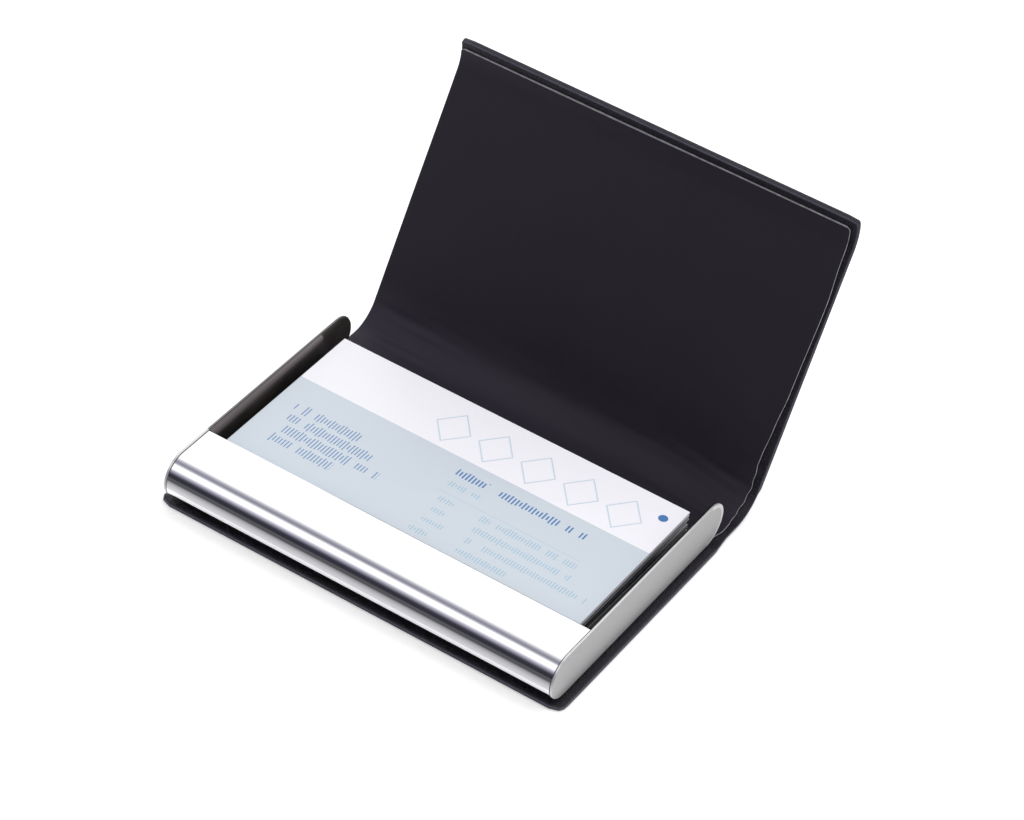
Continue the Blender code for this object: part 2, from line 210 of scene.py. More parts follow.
class Shader:
    """One material's or world's node tree, and the one method that adds a node to it."""

    def __init__(self, tree):
        self.tree = tree

    def node(self, kind, settings=None, inputs=None):
        """Adds a node: its settings first, then a value or a link for each named socket."""
        node = self.tree.nodes.new(kind)
        for name, value in (settings or {}).items():
            if name == "stops":
                self._set_stops(node.color_ramp, value)
            else:
                setattr(node, name, value)
        for name, value in (inputs or {}).items():
            source = getattr(value, "socket", value)
            if isinstance(source, bpy.types.NodeSocket):
                self.tree.links.new(source, node.inputs[name])
            else:
                node.inputs[name].default_value = source
        return node

    def _set_stops(self, ramp, stops):
        while len(ramp.elements) < len(stops):
            ramp.elements.new(1.0)
        for element, (place, tone) in zip(ramp.elements, stops):
            element.position = place
            element.color = (*tone, 1.0)

    def value(self, node, output=0):
        return Value(self, node.outputs[output])

    def object_place(self):
        return self.node("ShaderNodeTexCoord").outputs["Object"]

    def parts(self, vector):
        """The three numbers of a vector."""
        node = self.node("ShaderNodeSeparateXYZ", None, {0: vector})
        return [self.value(node, i) for i in range(3)]

    def sheet_place(self):
        """The piece's own flat pattern: metres across and along, so it follows every fold."""
        return self.node("ShaderNodeUVMap", {"uv_map": "flat"}).outputs[0]

    def noise(self, vector, scale, detail=3.0, roughness=0.5):
        inputs = {"Vector": vector, "Scale": scale, "Detail": detail, "Roughness": roughness}
        return self.value(self.node("ShaderNodeTexNoise", None, inputs))

    def object_noise(self, scale, detail):
        return self.noise(self.object_place(), scale, detail)

    def streaks(self, scales, detail):
        """Noise on object coordinates, with its own scale along each axis."""
        inputs = {"Vector": self.object_place(), "Scale": scales}
        return self.noise(self.node("ShaderNodeMapping", None, inputs).outputs[0], 1.0, detail)

    def creases(self, vector, scale):
        """0 on the borders between cells, growing towards their middles."""
        inputs = {"Vector": vector, "Scale": scale}
        settings = {"feature": "DISTANCE_TO_EDGE"}
        return self.value(self.node("ShaderNodeTexVoronoi", settings, inputs), "Distance")

    def white_noise(self, first, second):
        """An even random number for each pair of whole numbers."""
        seed = self.node("ShaderNodeCombineXYZ", None, {0: first, 1: second}).outputs[0]
        settings = {"noise_dimensions": "2D"}
        return self.value(self.node("ShaderNodeTexWhiteNoise", settings, {"Vector": seed}))

    def attribute(self, name):
        return self.value(self.node("ShaderNodeAttribute", {"attribute_name": name}), "Fac")

    def mix(self, share, first, second):
        """A colour between two, by share."""
        inputs = {"Factor": share, 6: self._tone(first), 7: self._tone(second)}
        return self.node("ShaderNodeMix", {"data_type": "RGBA"}, inputs).outputs[2]

    def _tone(self, tone):
        return tone if isinstance(tone, bpy.types.NodeSocket) else (*tone, 1.0)

    def bump(self, height, distance, strength=1.0):
        inputs = {"Height": height, "Distance": distance, "Strength": strength}
        return self.node("ShaderNodeBump", None, inputs).outputs[0]


def surface(name, base, roughness, normal=None, glow=None, **constants):
    """A material with one Principled shader.  All but the constants may vary over the piece."""
    material = bpy.data.materials.get(name) or bpy.data.materials.new(name)
    material.use_nodes = True
    shader = Shader(material.node_tree)
    principled = material.node_tree.nodes["Principled BSDF"]
    for socket, value in constants.items():
        principled.inputs[socket.replace("_", " ")].default_value = value
    varied = {"Base Color": base, "Roughness": roughness, "Normal": normal, "Emission Color": glow}
    for socket, make in varied.items():
        value = make(shader) if callable(make) else make
        source = getattr(value, "socket", value)
        if isinstance(source, bpy.types.NodeSocket):
            shader.tree.links.new(source, principled.inputs[socket])
        elif source is not None:
            principled.inputs[socket].default_value = source
    return material


def patchy(level, spread, scale, detail):
    """Roughness that varies by spread with noise over the piece."""
    return lambda shader: level + shader.object_noise(scale, detail) * spread


def grainy(scale, detail, depth, strength):
    """A fine noise relief, depth high."""
    return lambda shader: shader.bump(shader.object_noise(scale, detail), depth, strength)


# Meshes


def placed(name, data):
    thing = bpy.data.objects.new(name, data)
    bpy.context.scene.collection.objects.link(thing)
    return thing


def finish_piece(name, points, faces, material, flat=None, sharp=35):
    """Puts whole arrays of points and faces into an object that sits at the origin.

    flat holds two numbers for every point, the place in the piece's own flat pattern.
    """
    mesh = bpy.data.meshes.new(name)
    mesh.from_pydata(points.reshape(-1, 3).tolist(), [], faces)
    mesh.validate()
    if flat is not None:
        corners = np.empty(len(mesh.loops), np.int32)
        mesh.loops.foreach_get("vertex_index", corners)
        layer = mesh.uv_layers.new(name="flat")
        layer.data.foreach_set("uv", flat.reshape(-1, 2)[corners].astype(np.float32).ravel())
    mesh.polygons.foreach_set("use_smooth", np.ones(len(mesh.polygons), bool))
    mesh.set_sharp_from_angle(angle=math.radians(sharp))
    mesh.materials.append(material)
    return placed(name, mesh)


def point_values(piece, name, values):
    """Gives every point of a piece a number that its material can read."""
    attribute = piece.data.attributes.new(name, "FLOAT", "POINT")
    attribute.data.foreach_set("value", values.astype(np.float32).ravel())


def grid_faces(rows, columns, first=0, around=False):
    """Quads of a grid of points, row after row.  around joins the last column to the first."""
    index = first + np.arange(rows * columns).reshape(rows, columns)
    after = np.roll(index, -1, axis=1) if around else index[:, 1:]
    here = index if around else index[:, :-1]
    quads = np.stack([here[:-1], after[:-1], after[1:], here[1:]], axis=-1)
    return quads.reshape(-1, 4).tolist()


def closed_loft(name, rings, material, flat=None, flip=False, sharp=35):
    """A body through closed rings, an array of rings x points x 3, with a flat face at each end."""
    count = rings.shape[1]
    faces = grid_faces(rings.shape[0], count, around=True)
    last = len(rings) - 1
    faces += [list(range(count))[::-1], [last * count + i for i in range(count)]]
    if flip:
        faces = [face[::-1] for face in faces]
    return finish_piece(name, rings, faces, material, flat, sharp)


def arc(centre, radius, start, end, steps):
    """Points of a circular arc in a plane, from one angle in degrees to another."""
    turn = np.radians(np.linspace(start, end, steps))
    return np.stack([centre[0] + radius * np.cos(turn), centre[1] + radius * np.sin(turn)], axis=-1)


def smooth(value, low, high):
    """0 below low, 1 above high, and an S curve between them."""
    share = np.clip((value - low) / (high - low), 0.0, 1.0)
    return share * share * (3 - 2 * share)


# The tray


def sheet_outline(sizes):
    """YZ outline of the bent sheet: two lines a sheet apart, round at both free edges.

    Each line is a straight floor, a half circle and a straight lip.
    """
    low, high = SHELL_LOW[2], SHELL_HIGH[2]
    outer = (high - low) / 2
    centre = (SHELL_LOW[1] + outer, (low + high) / 2)
    half = sizes.sheet / 2
    inner = outer - sizes.sheet
    lip_end = arc((sizes.lip_edge - half, high - half), half, 90, -90, 9)
    floor_end = arc((sizes.floor_back - half, low + half), half, 90, -90, 9)
    outside = arc(centre, outer, 270, 90, 73)
    inside = arc(centre, inner, 90, 270, 73)
    lip_steps = np.linspace(outside[-1], lip_end[0], 8)[1:-1]
    return np.concatenate([outside, lip_steps, lip_end, inside, floor_end])


def polished(sizes):
    """Mirror-bright sheet: hair-fine lines along the case and faint wiping marks."""
    tone = sizes.steel

    def wiped(shader):
        lines = shader.streaks((40, 6000, 6000), 2.0)
        marks = shader.object_noise(60.0, 4.0)
        return 0.045 + lines * 0.035 + marks.step(0.45, 0.75) * 0.035

    def lines(shader):
        height = shader.streaks((30, 4000, 4000), 2.0)
        return shader.bump(height, 0.002 * MM, 0.5)

    def tint(shader):
        marks = shader.object_noise(45.0, 3.0)
        return shader.mix(marks, tone, scaled(tone, 0.95))

    return surface("polished_steel_finish", tint, wiped, lines, Metallic=1.0)


def satin(sizes):
    """Fine-blasted metal with a speckle and a smoother rim.

    The rim's tone is painted light: a painted highlight on the right plate and at the front,
    and painted shade on the rest of the left plate.  The half round at the back has a painted
    highlight.
    """
    tone = sizes.satin
    face = PLATE_HIGH[0] - 0.03 * MM
    radius = (PLATE_HIGH[2] - PLATE_LOW[2]) / 2
    middle = (PLATE_HIGH[2] + PLATE_LOW[2]) / 2

    def rim(shader):
        across = shader.parts(shader.object_place())[0]
        return 1 - abs(across).step(face - 0.10 * MM, face)

    def tint(shader):
        place = shader.object_place()
        speckle = shader.noise(place, 5200.0, 2.0).step(0.35, 0.7)
        cloud = shader.noise(place, 70.0, 2.0)
        dull = shader.mix(speckle, scaled(tone, 0.86), scaled(tone, 1.1))
        dull = shader.mix(cloud, dull, tone)
        x, y, z = shader.parts(place)
        # Painted light on the rim: a highlight on the right plate and at the front, shade on the
        # rest
        bright = (x > 0.0).largest(y < sizes.lip_edge)
        edge = shader.mix(bright, (0.17, 0.165, 0.17), (0.66, 0.66, 0.67))
        up, back = z - middle, y - (PLATE_HIGH[1] - radius)
        # Painted highlight: the half round at the back of each plate is painted paler
        painted_back_highlight = ((up * up + back * back) / radius**2).step(0.66, 0.76) * (back > 0.0)
        dull = shader.mix(painted_back_highlight * 0.85, dull, (0.74, 0.74, 0.75))
        return shader.mix(rim(shader), dull, edge)

    def roughness(shader):
        speckle = shader.object_noise(5200.0, 2.0)
        return 0.44 + speckle * 0.12 - rim(shader) * 0.16

    grain = grainy(4200.0, 3.0, 0.012 * MM, 0.6)
    return surface("satin_plate_finish", tint, roughness, grain, Metallic=0.6)


def moulded(sizes):
    """Black moulding with a fine spark-eroded grain, a painted sheen on the left cheek's side and
    painted shade on the right cheek.
    """
    tone = sizes.cheek

    def tint(shader):
        rubbing_and_painted_light = shader.object_noise(120.0, 4.0).step(0.4, 0.8)
        left = shader.parts(shader.object_place())[0] < 0.0
        base = shader.mix(rubbing_and_painted_light, tone, scaled(tone, 1.8))
        # Painted shade: the right cheek is darkened to a quarter of the tone
        base = shader.mix(left, scaled(tone, 0.25), base)
        # Painted sheen along the left cheek's side
        return shader.mix(side(shader) * 0.75, base, (0.27, 0.232, 0.245))

    def side(shader):
        """Where the painted sheen lies: the left cheek's side under the plate's rim, stronger
        towards its top and back.
        """
        x, y, z = shader.parts(shader.object_place())
        height = z.step(CHEEK_HIGH[2] - 2.6 * MM, CHEEK_HIGH[2])
        along = 0.55 + y.step(-2 * MM, sizes.cheek_end) * 0.45
        return height * height * along * (y < sizes.cheek_end) * (x < 0.0)

    roughness = patchy(0.26, 0.16, 900.0, 3.0)
    grain = grainy(6500.0, 2.0, 0.006 * MM, 0.6)
    return surface("black_moulding_finish", tint, roughness, grain, Specular_IOR_Level=0.15)


class MakeTray(bpy.types.Operator):
    """Adds the bent sheet: floor, rolled front edge and lip"""

    bl_idname = "card_case.tray"
    bl_label = "Sheet tray"

    def execute(self, context):
        """The sheet's outline carried along X, with its two ends eased by a hair."""
        sizes = context.scene.card_case_tray
        outline = sheet_outline(sizes)
        low, high = SHELL_LOW[0] + sizes.seam, SHELL_HIGH[0] - sizes.seam
        stations = np.linspace(low, high, 13)
        rings = np.stack([np.column_stack([np.full(len(outline), x), outline]) for x in stations])
        piece = closed_loft("tray_sheet", rings, polished(sizes), flip=True)
        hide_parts("steel_shell")
        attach(piece, "tray")
        return {"FINISHED"}


def eased_faces(low, high, low_ease, high_ease, steps):
    """Stations from one face to the other and the inset at each: a quarter circle at both faces."""
    turn = np.radians(np.linspace(0, 90, steps))
    rise, inset = 1 - np.sin(turn), 1 - np.cos(turn)
    stations = np.concatenate([low + low_ease * rise[::-1], high - high_ease * rise])
    return stations, np.concatenate([low_ease * inset[::-1], high_ease * inset])


def flat_oval(low, high, inset, steps=40):
    """YZ outline of a bar with half-round ends, drawn in by inset."""
    radius = (high[2] - low[2]) / 2
    level = (high[2] + low[2]) / 2
    back = arc((high[1] - radius, level), radius - inset, -90, 90, steps)
    front = arc((low[1] + radius, level), radius - inset, 90, 270, steps)
    return np.concatenate([back, front])


def oval_plate(name, side, low, high, outer_ease, inner_ease, material):
    """A flat-oval plate: its outline drawn in along a quarter circle at each face."""
    rings = []
    for x, inset in zip(*eased_faces(low[0], high[0], inner_ease, outer_ease, 7)):
        outline = flat_oval(low, high, inset)
        rings.append(np.column_stack([np.full(len(outline), side * x), outline]))
    return closed_loft(name, np.stack(rings), material, flip=side < 0, sharp=50)


def cheek_outline(sizes, inset, steps=40):
    """YZ outline of a cheek: the plate's drawn in a little, and further inside the sheet."""
    gap = PLATE_HIGH[2] - CHEEK_HIGH[2]
    under = PLATE_HIGH[2] - SHELL_HIGH[2] + sizes.sheet + 0.05 * MM
    middle = (PLATE_HIGH[2] + PLATE_LOW[2]) / 2
    back = flat_oval(PLATE_LOW, PLATE_HIGH, gap, steps)[:steps]
    kept = (back[:, 0] > sizes.floor_back + 0.1 * MM) | (back[:, 1] > middle)
    back = flat_oval(PLATE_LOW, PLATE_HIGH, gap + inset, steps)[:steps][kept]
    front = flat_oval(PLATE_LOW, PLATE_HIGH, under + min(inset, 0.3 * MM), steps)[steps:]
    step_y = sizes.lip_edge + 0.1 * MM
    top = np.array([(step_y, back[-1, 1]), (step_y, front[0, 1])])
    return np.concatenate([back, top, front, [(back[0, 0], front[-1, 1])]])


def cheek_body(name, side, sizes, material):
    """A cheek, drawn in along a quarter circle at its inner face and thinner towards the back."""
    turn = np.radians(np.linspace(90, 0, 9))
    xs = np.append(CHEEK_LOW[0] + sizes.cheek_round * (1 - np.sin(turn)), CHEEK_HIGH[0])
    insets = np.append(sizes.cheek_round * (1 - np.cos(turn)), 0.0)
    rings = []
    for x, inset in zip(xs, insets):
        outline = cheek_outline(sizes, inset)
        back = smooth(outline[:, 0], sizes.cheek_end - 3 * MM, sizes.floor_back)
        thin = 1 - sizes.cheek_taper * back
        across = CHEEK_HIGH[0] - (CHEEK_HIGH[0] - x) * thin
        rings.append(np.column_stack([side * across, outline]))
    return closed_loft(name, np.stack(rings), material, flip=side < 0, sharp=40)


class MakePlates(bpy.types.Operator):
    """Adds the two end plates and the black cheeks inside them"""

    bl_idname = "card_case.plates"
    bl_label = "End plates and cheeks"

    def execute(self, context):
        sizes = context.scene.card_case_tray
        plate_finish = satin(sizes)
        cheek_finish = moulded(sizes)
        for side, word in ((-1, "left"), (1, "right")):
            plate = oval_plate(
                "plate_" + word, side, PLATE_LOW, PLATE_HIGH, sizes.rim, 0.05 * MM, plate_finish
            )
            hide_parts("end_plate_" + word)
            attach(plate, "tray")
            cheek = cheek_body("moulded_cheek_" + word, side, sizes, cheek_finish)
            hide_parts("cheek_" + word)
            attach(cheek, "tray")
        return {"FINISHED"}


# The cards


CARD_COUNT = 18
ROW_PITCH = 3.6 * MM
ROW_SHIFT = 0.35
WORD_SEED = 19.0
WORD_GAPS = 0.10
PRINT_ROWS = (
    # kind of stroke, then the row's left, right, middle and half height in millimetres
    ("address", -37.8, -21.6, 0.7, 1.55),
    ("address", -37.2, -16.4, -2.9, 1.55),
    ("address", -36.8, -12.5, -6.5, 1.55),
    ("address", -36.6, -21.4, -10.1, 1.55),
    ("name", -1.1, 7.6, 5.0, 1.25),
    ("name", 9.6, 32.3, 5.0, 1.25),
    ("small", -0.5, 7.3, 1.3, 0.8),
    ("small", 0.5, 4.2, -3.8, 0.85),
    ("small", 0.6, 4.6, -7.4, 0.85),
    ("small", 0.7, 6.2, -11.0, 0.85),
    ("small", 0.6, 6.4, -14.6, 0.85),
    ("small", 10.6, 33.2, -3.6, 1.0),
    ("small", 11.2, 34.2, -7.2, 1.0),
    ("small", 11.4, 40.1, -10.8, 1.0),
    ("small", 11.6, 23.3, -14.4, 1.0),
)
STROKES = {
    # pitch of the strokes in millimetres, share that is ink, how strong the ink is
    "address": (0.74, 0.36, 0.85),
    "name": (0.80, 0.46, 1.0),
    "small": (0.66, 0.36, 1.0),
}
# left, right, bottom and top of the thin rule
RULE = (-0.7, 33.0, -1.75, -1.55)
# left, right, middle, half height, half width and pitch of the lozenges
LOZENGES = (-14.0, 37.5, 15.9, 5.0, 4.1, 10.3)
# place and radius of the dot
CORNER_DOT = (39.2, 19.9, 1.05)


def print_rows(shader, x, y, kind):
    """Stands for small print with plain upright strokes of uneven height, in words with gaps.

    A stroke is on where the fraction of x over the pitch is under its share.  White noise for each
    stroke sets its height, and coarser white noise leaves the gaps.
    """
    pitch, share, strength = STROKES[kind]
    across = x / (pitch * MM)
    row = (y / ROW_PITCH + ROW_SHIFT).floor()
    own = shader.white_noise(across.floor(), row)
    word = shader.white_noise((across / 2).floor(), row + WORD_SEED)
    stroke = (across.fraction() < share) * (word > WORD_GAPS)
    total = None
    for name, left, right, middle, half in PRINT_ROWS:
        if name != kind:
            continue
        height = (0.5 + own * 0.5) * (half * MM)
        inside = (x > left * MM) * (x < right * MM) * (abs(y - middle * MM) < height)
        total = inside if total is None else total.largest(inside)
    return total * stroke * strength


def lozenge_row(shader, x, y):
    """A row of thin outlined lozenges: |across| / width + |up| / height is 1 on each outline."""
    left, right, middle, half_height, half_width, pitch = (part * MM for part in LOZENGES)
    across = abs(((x - left) / pitch).fraction() - 0.5) * pitch
    ring = across / half_width + abs(y - middle) / half_height
    return (abs(ring - 1.0) < 0.05) * (x > left) * (x < right)


def printed(sizes):
    """Coated card: a tinted panel, plain strokes, lozenges, a dot and a faint paper tooth."""
    paper = sizes.paper
    panel = sizes.panel
    ink = sizes.ink
    pale = sizes.pale_ink

    def box(x, y, sides):
        left, right, low, high = (side * MM for side in sides)
        return (x > left) * (x < right) * (y > low) * (y < high)

    def tint(shader):
        place = shader.object_place()
        x, y, z = shader.parts(place)
        face = z > CARD_HIGH[2] - 0.05 * MM
        mottle = shader.noise(place, 900.0, 3.0)
        bare = shader.mix(mottle, paper, scaled(paper, 0.97))
        tinted = shader.mix(mottle, panel, scaled(panel, 0.975))
        tone = shader.mix((y < sizes.band) * face, bare, tinted)
        strong = print_rows(shader, x, y, "address").largest(print_rows(shader, x, y, "name"))
        light = (box(x, y, RULE) * 0.45).largest(print_rows(shader, x, y, "small"))
        light = light.largest(lozenge_row(shader, x, y) * 0.55)
        dot_x, dot_y, dot_radius = (part * MM for part in CORNER_DOT)
        reach = (x - dot_x) * (x - dot_x) + (y - dot_y) * (y - dot_y)
        strong = strong.largest(reach < dot_radius**2)
        tone = shader.mix(light * face, tone, pale)
        return shader.mix(strong * face, tone, ink)

    roughness = patchy(0.34, 0.12, 2500.0, 2.0)
    tooth = grainy(5000.0, 2.0, 0.002 * MM, 0.4)
    return surface("printed_card_finish", tint, roughness, tooth, Coat_Weight=0.08)


def card_edges(sizes):
    """Stock of the lower cards: each edge has its own tone, cut fibres and painted shade at its
    ends.
    """
    paper = sizes.paper
    pitch = (CARD_HIGH[2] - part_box("card_01")[0][2]) / CARD_COUNT

    def tint(shader):
        place = shader.object_place()
        across, along, height = shader.parts(place)
        card = (height / pitch).floor()
        own = shader.node("ShaderNodeTexWhiteNoise", {"noise_dimensions": "1D"}, {"W": card})
        fibres = shader.streaks((300, 300, 9000), 3.0)
        tone = shader.mix(shader.value(own), scaled(paper, 0.62), paper)
        tone = shader.mix(fibres.step(0.35, 0.8) * 0.35, tone, (0.35, 0.35, 0.38))
        # Painted shade on the card ends: deeper low in the stack and towards the front
        end = abs(across) > CARD_HIGH[0] - 0.3 * MM
        low = 1 - height.step(CARD_HIGH[2] - 2.6 * MM, CARD_HIGH[2] - 0.4 * MM)
        front = 1 - along.step(CARD_HIGH[1] - 14 * MM, CARD_HIGH[1] - 1 * MM) * 0.6
        return shader.mix(end * (0.45 + low * 0.55) * front, tone, (0.045, 0.048, 0.056))

    def fibres(shader):
        return shader.bump(shader.streaks((400, 400, 12000), 3.0), 0.01 * MM, 0.5)

    return surface("card_edge_finish", tint, patchy(0.55, 0.2, 3000.0, 2.0), fibres)


def eased_box(name, low, high, ease, material):
    """A thin box: its XY outline drawn in along a quarter circle at the top and the bottom."""
    corner = 4 * ease
    left, right = low[0] + corner, high[0] - corner
    front, back = low[1] + corner, high[1] - corner
    centres = ((right, front, -90), (right, back, 0), (left, back, 90), (left, front, 180))
    rings = []
    for level, inset in zip(*eased_faces(low[2], high[2], ease, ease, 5)):
        outline = np.concatenate(
            [arc((x, y), corner - inset, start, start + 90, 5) for x, y, start in centres]
        )
        rings.append(np.column_stack([outline, np.full(len(outline), level)]))
    return closed_loft(name, np.stack(rings), material, sharp=60)


class MakeCards(bpy.types.Operator):
    """Adds the printed top card and gives the cards below it their stock"""

    bl_idname = "card_case.cards"
    bl_label = "Cards"

    def execute(self, context):
        sizes = context.scene.card_case_cards
        top = eased_box("top_card", CARD_LOW, CARD_HIGH, sizes.edge, printed(sizes))
        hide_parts("card_18")
        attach(top, "tray")
        stock = card_edges(sizes)
        for number in range(1, CARD_COUNT):
            dress(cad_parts[f"card_{number:02d}"], stock)
        return {"FINISHED"}


def dress(node, material):
    """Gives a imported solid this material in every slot."""
    if not node.material_slots:
        node.data.materials.append(material)
    for slot in node.material_slots:
        slot.material = material


# The cover


def cover_path(distance, depth):
    """(y, z) of places on the cover, as whole arrays.

    The inner face is a straight floor, an arc that turns up by the lean, a straight lid and an arc
    that goes on turning.  A point lies depth beyond it, square to it.
    """
    sizes = cover_sizes()
    turned = sizes.bend * sizes.lean
    bent = np.clip(distance, 0.0, turned) / sizes.bend
    straight = np.clip(distance - turned, 0.0, sizes.straight)
    curled = np.clip(distance - turned - sizes.straight, 0.0, None) / sizes.curl
    flat = np.minimum(distance, 0.0)
    slope = bent + curled
    lean_cos, lean_sin = math.cos(sizes.lean), math.sin(sizes.lean)
    y = sizes.bend_start + flat + sizes.bend * np.sin(bent) + straight * lean_cos
    z = sizes.inner_level + sizes.bend * (1 - np.cos(bent)) + straight * lean_sin
    y = y + sizes.curl * (np.sin(sizes.lean + curled) - lean_sin)
    z = z + sizes.curl * (lean_cos - np.cos(sizes.lean + curled))
    return y + depth * np.sin(slope), z - depth * np.cos(slope)


def on_cover(x, distance, depth):
    y, z = cover_path(distance, depth)
    return np.stack([x + 0 * y, y, z], axis=-1)


def cover_thickness(distance):
    """Full over the base board, soft where the cover folds, full again over the lid board."""
    sizes = cover_sizes()
    board_end = 27.6 * MM - sizes.bend_start
    base = 1 - smooth(distance, board_end, board_end + 1.8 * MM)
    turned = sizes.bend * sizes.lean
    lid = smooth(distance, turned - 1.5 * MM, turned + 0.2 * MM)
    thick = sizes.soft_thick + base * (sizes.base_thick - sizes.soft_thick)
    return thick + lid * (sizes.lid_thick - sizes.soft_thick)


def cover_half(distance):
    """Half width of the cover: the base's, easing in to the spine's as it reaches the fold."""
    return COVER_HIGH[0] + (SPINE_HIGH[0] - COVER_HIGH[0]) * smooth(distance, -9.5 * MM, -3.5 * MM)


def cover_end():
    sizes = cover_sizes()
    return sizes.bend * sizes.lean + sizes.straight + sizes.curl * sizes.curl_turn


def edge_fold(thick):
    """How leather goes over an edge: (inset, depth, run) from the border inside to the outer face.

    It runs flat along the border, turns a quarter circle, goes down the wall and turns another.
    """
    sizes = cover_sizes()
    top = sizes.step
    radius = np.minimum(sizes.fold_round, (thick - top) / 2 - 0.01 * MM)[..., None]
    thick = np.asarray(thick)[..., None]
    turn = np.radians(np.linspace(0, 90, 8))
    share = np.linspace(0, 1, 5)[:-1]
    flat_inset = sizes.border + (radius - sizes.border) * share
    flat_depth = top + 0 * flat_inset
    first_inset = radius * (1 - np.sin(turn))
    first_depth = top + radius * (1 - np.cos(turn))
    second_inset = radius * (1 - np.cos(turn))
    second_depth = thick - radius * (1 - np.sin(turn))
    inset = np.concatenate([flat_inset, first_inset, second_inset], axis=-1)
    depth = np.concatenate([flat_depth, first_depth, second_depth], axis=-1)
    steps = np.hypot(np.diff(inset, axis=-1), np.diff(depth, axis=-1))
    run = np.concatenate([0 * inset[..., :1], np.cumsum(steps, axis=-1)], axis=-1)
    return inset, depth, run - run[..., -1:]


def round_corner(x, distance, half, edge, way, radius):
    """Makes a square corner round by pushing each square ring of points on to a circle."""
    over_x = np.abs(x) - (half - radius)
    over_s = way * (distance - edge) + radius
    ring = np.maximum(over_x, over_s)
    far = np.hypot(over_x, over_s)
    near = (over_x > 0) & (over_s > 0) & (far > 0)
    share = np.where(near, ring / np.where(near, far, 1.0), 1.0)
    new_x = np.where(near, np.sign(x) * (half - radius + over_x * share), x)
    new_s = np.where(near, edge + way * (over_s * share - radius), distance)
    return new_x, new_s


def path_stations(start, end):
    """Distances along the cover, close together where it bends."""
    sizes = cover_sizes()
    turned = sizes.bend * sizes.lean
    low, high = min(start, end), max(start, end)
    steps = [
        np.arange(low, high, 1.5 * MM),
        np.linspace(-10 * MM, turned + 2 * MM, 56),
        np.linspace(turned + sizes.straight - 1 * MM, cover_end(), 36),
    ]
    every = np.unique(np.round(np.concatenate(steps), 7))
    inside = every[(every > low + 0.2 * MM) & (every < high - 0.2 * MM)]
    every = np.concatenate([[low], inside, [high]])
    return every if end > start else every[::-1]


def folded_skin(name, start, edge, corner, material):
    """Leather from an open end to a finished edge, turned over that edge and over both sides.

    A grid across and along the cover is bent over each side by edge_fold.  A second grid does the
    same over the finished edge, and the two meet along a mitre at each corner.
    """
    sizes = cover_sizes()
    way = 1.0 if edge > start else -1.0
    end_inset, end_depth, end_run = edge_fold(cover_thickness(np.array(edge)))
    edge_round = end_inset[-1]
    rows = path_stations(start, edge - way * edge_round)
    thick = cover_thickness(rows)
    half = cover_half(rows)[:, None]
    end_half = float(cover_half(np.array(edge)))
    inset, depth, run = edge_fold(thick)
    near = np.clip(1 - np.abs(edge - way * edge_round - rows) / (4 * MM), 0, 1)[:, None]
    side_distance = rows[:, None] + way * (edge_round - inset) * near
    face_x = np.linspace(-1, 1, 41)[None, 1:-1] * (half - inset[:, -1:])
    x = np.concatenate([-(half - inset), face_x, (half - inset)[:, ::-1]], axis=1)
    face_distance = rows[:, None] + 0 * face_x
    distance = np.concatenate([side_distance, face_distance, side_distance[:, ::-1]], axis=1)
    deep = np.concatenate([depth, thick[:, None] + 0 * face_x, depth[:, ::-1]], axis=1)
    edge_u = half - inset[:, -1:]
    flat_u = np.concatenate([-edge_u + run, face_x, edge_u - run[:, ::-1]], axis=1)
    flat_v = rows[:, None] + 0 * flat_u
    main_shape = x.shape

    columns = np.linspace(-1, 1, 41)[None, :] * (end_half - edge_round)
    close = np.clip(1 - (end_half - edge_round - np.abs(columns)) / (4 * MM), 0, 1)
    turned_x = columns + np.sign(columns) * (edge_round - end_inset[::-1, None]) * close
    turned_s = edge - way * end_inset[::-1, None] + 0 * turned_x
    turned_depth = end_depth[::-1, None] + 0 * turned_x
    turned_u = columns + 0 * turned_x
    turned_v = edge - way * edge_round - way * end_run[::-1, None] + 0 * turned_x

    places = []
    for block_x, block_s, block_d in ((x, distance, deep), (turned_x, turned_s, turned_depth)):
        new_x, new_s = round_corner(block_x, block_s, end_half, edge, way, corner)
        places.append(on_cover(new_x, new_s, block_d).reshape(-1, 3))
    flat = np.concatenate([
        np.stack([flat_u, flat_v], axis=-1).reshape(-1, 2),
        np.stack([turned_u, turned_v], axis=-1).reshape(-1, 2),
    ])
    steps = np.arange(len(end_inset))
    # Painted light for each step of the fold: highlights on both roundings and a paler wall, and
    # painted shade (below 0) on the flat border by the lining
    rubbing_and_painted_light = np.exp(-(((steps - 9) / 1.7) ** 2)) + 0.7 * np.exp(-(((steps - 16) / 1.8) ** 2))
    rubbing_and_painted_light = np.maximum(rubbing_and_painted_light, 0.28 * (steps > 7)) - (steps < 6)
    main_painted_light = np.concatenate([rubbing_and_painted_light, np.zeros(face_x.shape[1]), rubbing_and_painted_light[::-1]])
    turned_painted_light = np.repeat(rubbing_and_painted_light[::-1], turned_x.shape[1])
    wear_and_painted_light = np.concatenate([np.tile(main_painted_light, len(rows)), turned_painted_light])
    faces = grid_faces(*main_shape) + grid_faces(*turned_x.shape, first=x.size)
    if way > 0:
        faces = [face[::-1] for face in faces]
    piece = finish_piece(name, np.concatenate(places), faces, material, flat, sharp=60)
    point_values(piece, "worn_edge", wear_and_painted_light)
    return thicken(piece, sizes.skin)


def thicken(piece, thickness):
    """Joins the mitred edges, then gives the sheet its thickness on the inner side."""
    weld = piece.modifiers.new("mitre", "WELD")
    weld.merge_threshold = 0.002 * MM
    solid = piece.modifiers.new("leather", "SOLIDIFY")
    solid.thickness = thickness
    solid.offset = -1.0
    solid.use_even_offset = False
    graph = bpy.context.evaluated_depsgraph_get()
    graph.update()
    mesh = bpy.data.meshes.new_from_object(piece.evaluated_get(graph))
    piece.modifiers.clear()
    old = piece.data
    piece.data = mesh
    bpy.data.meshes.remove(old)
    mesh.name = piece.name
    return piece


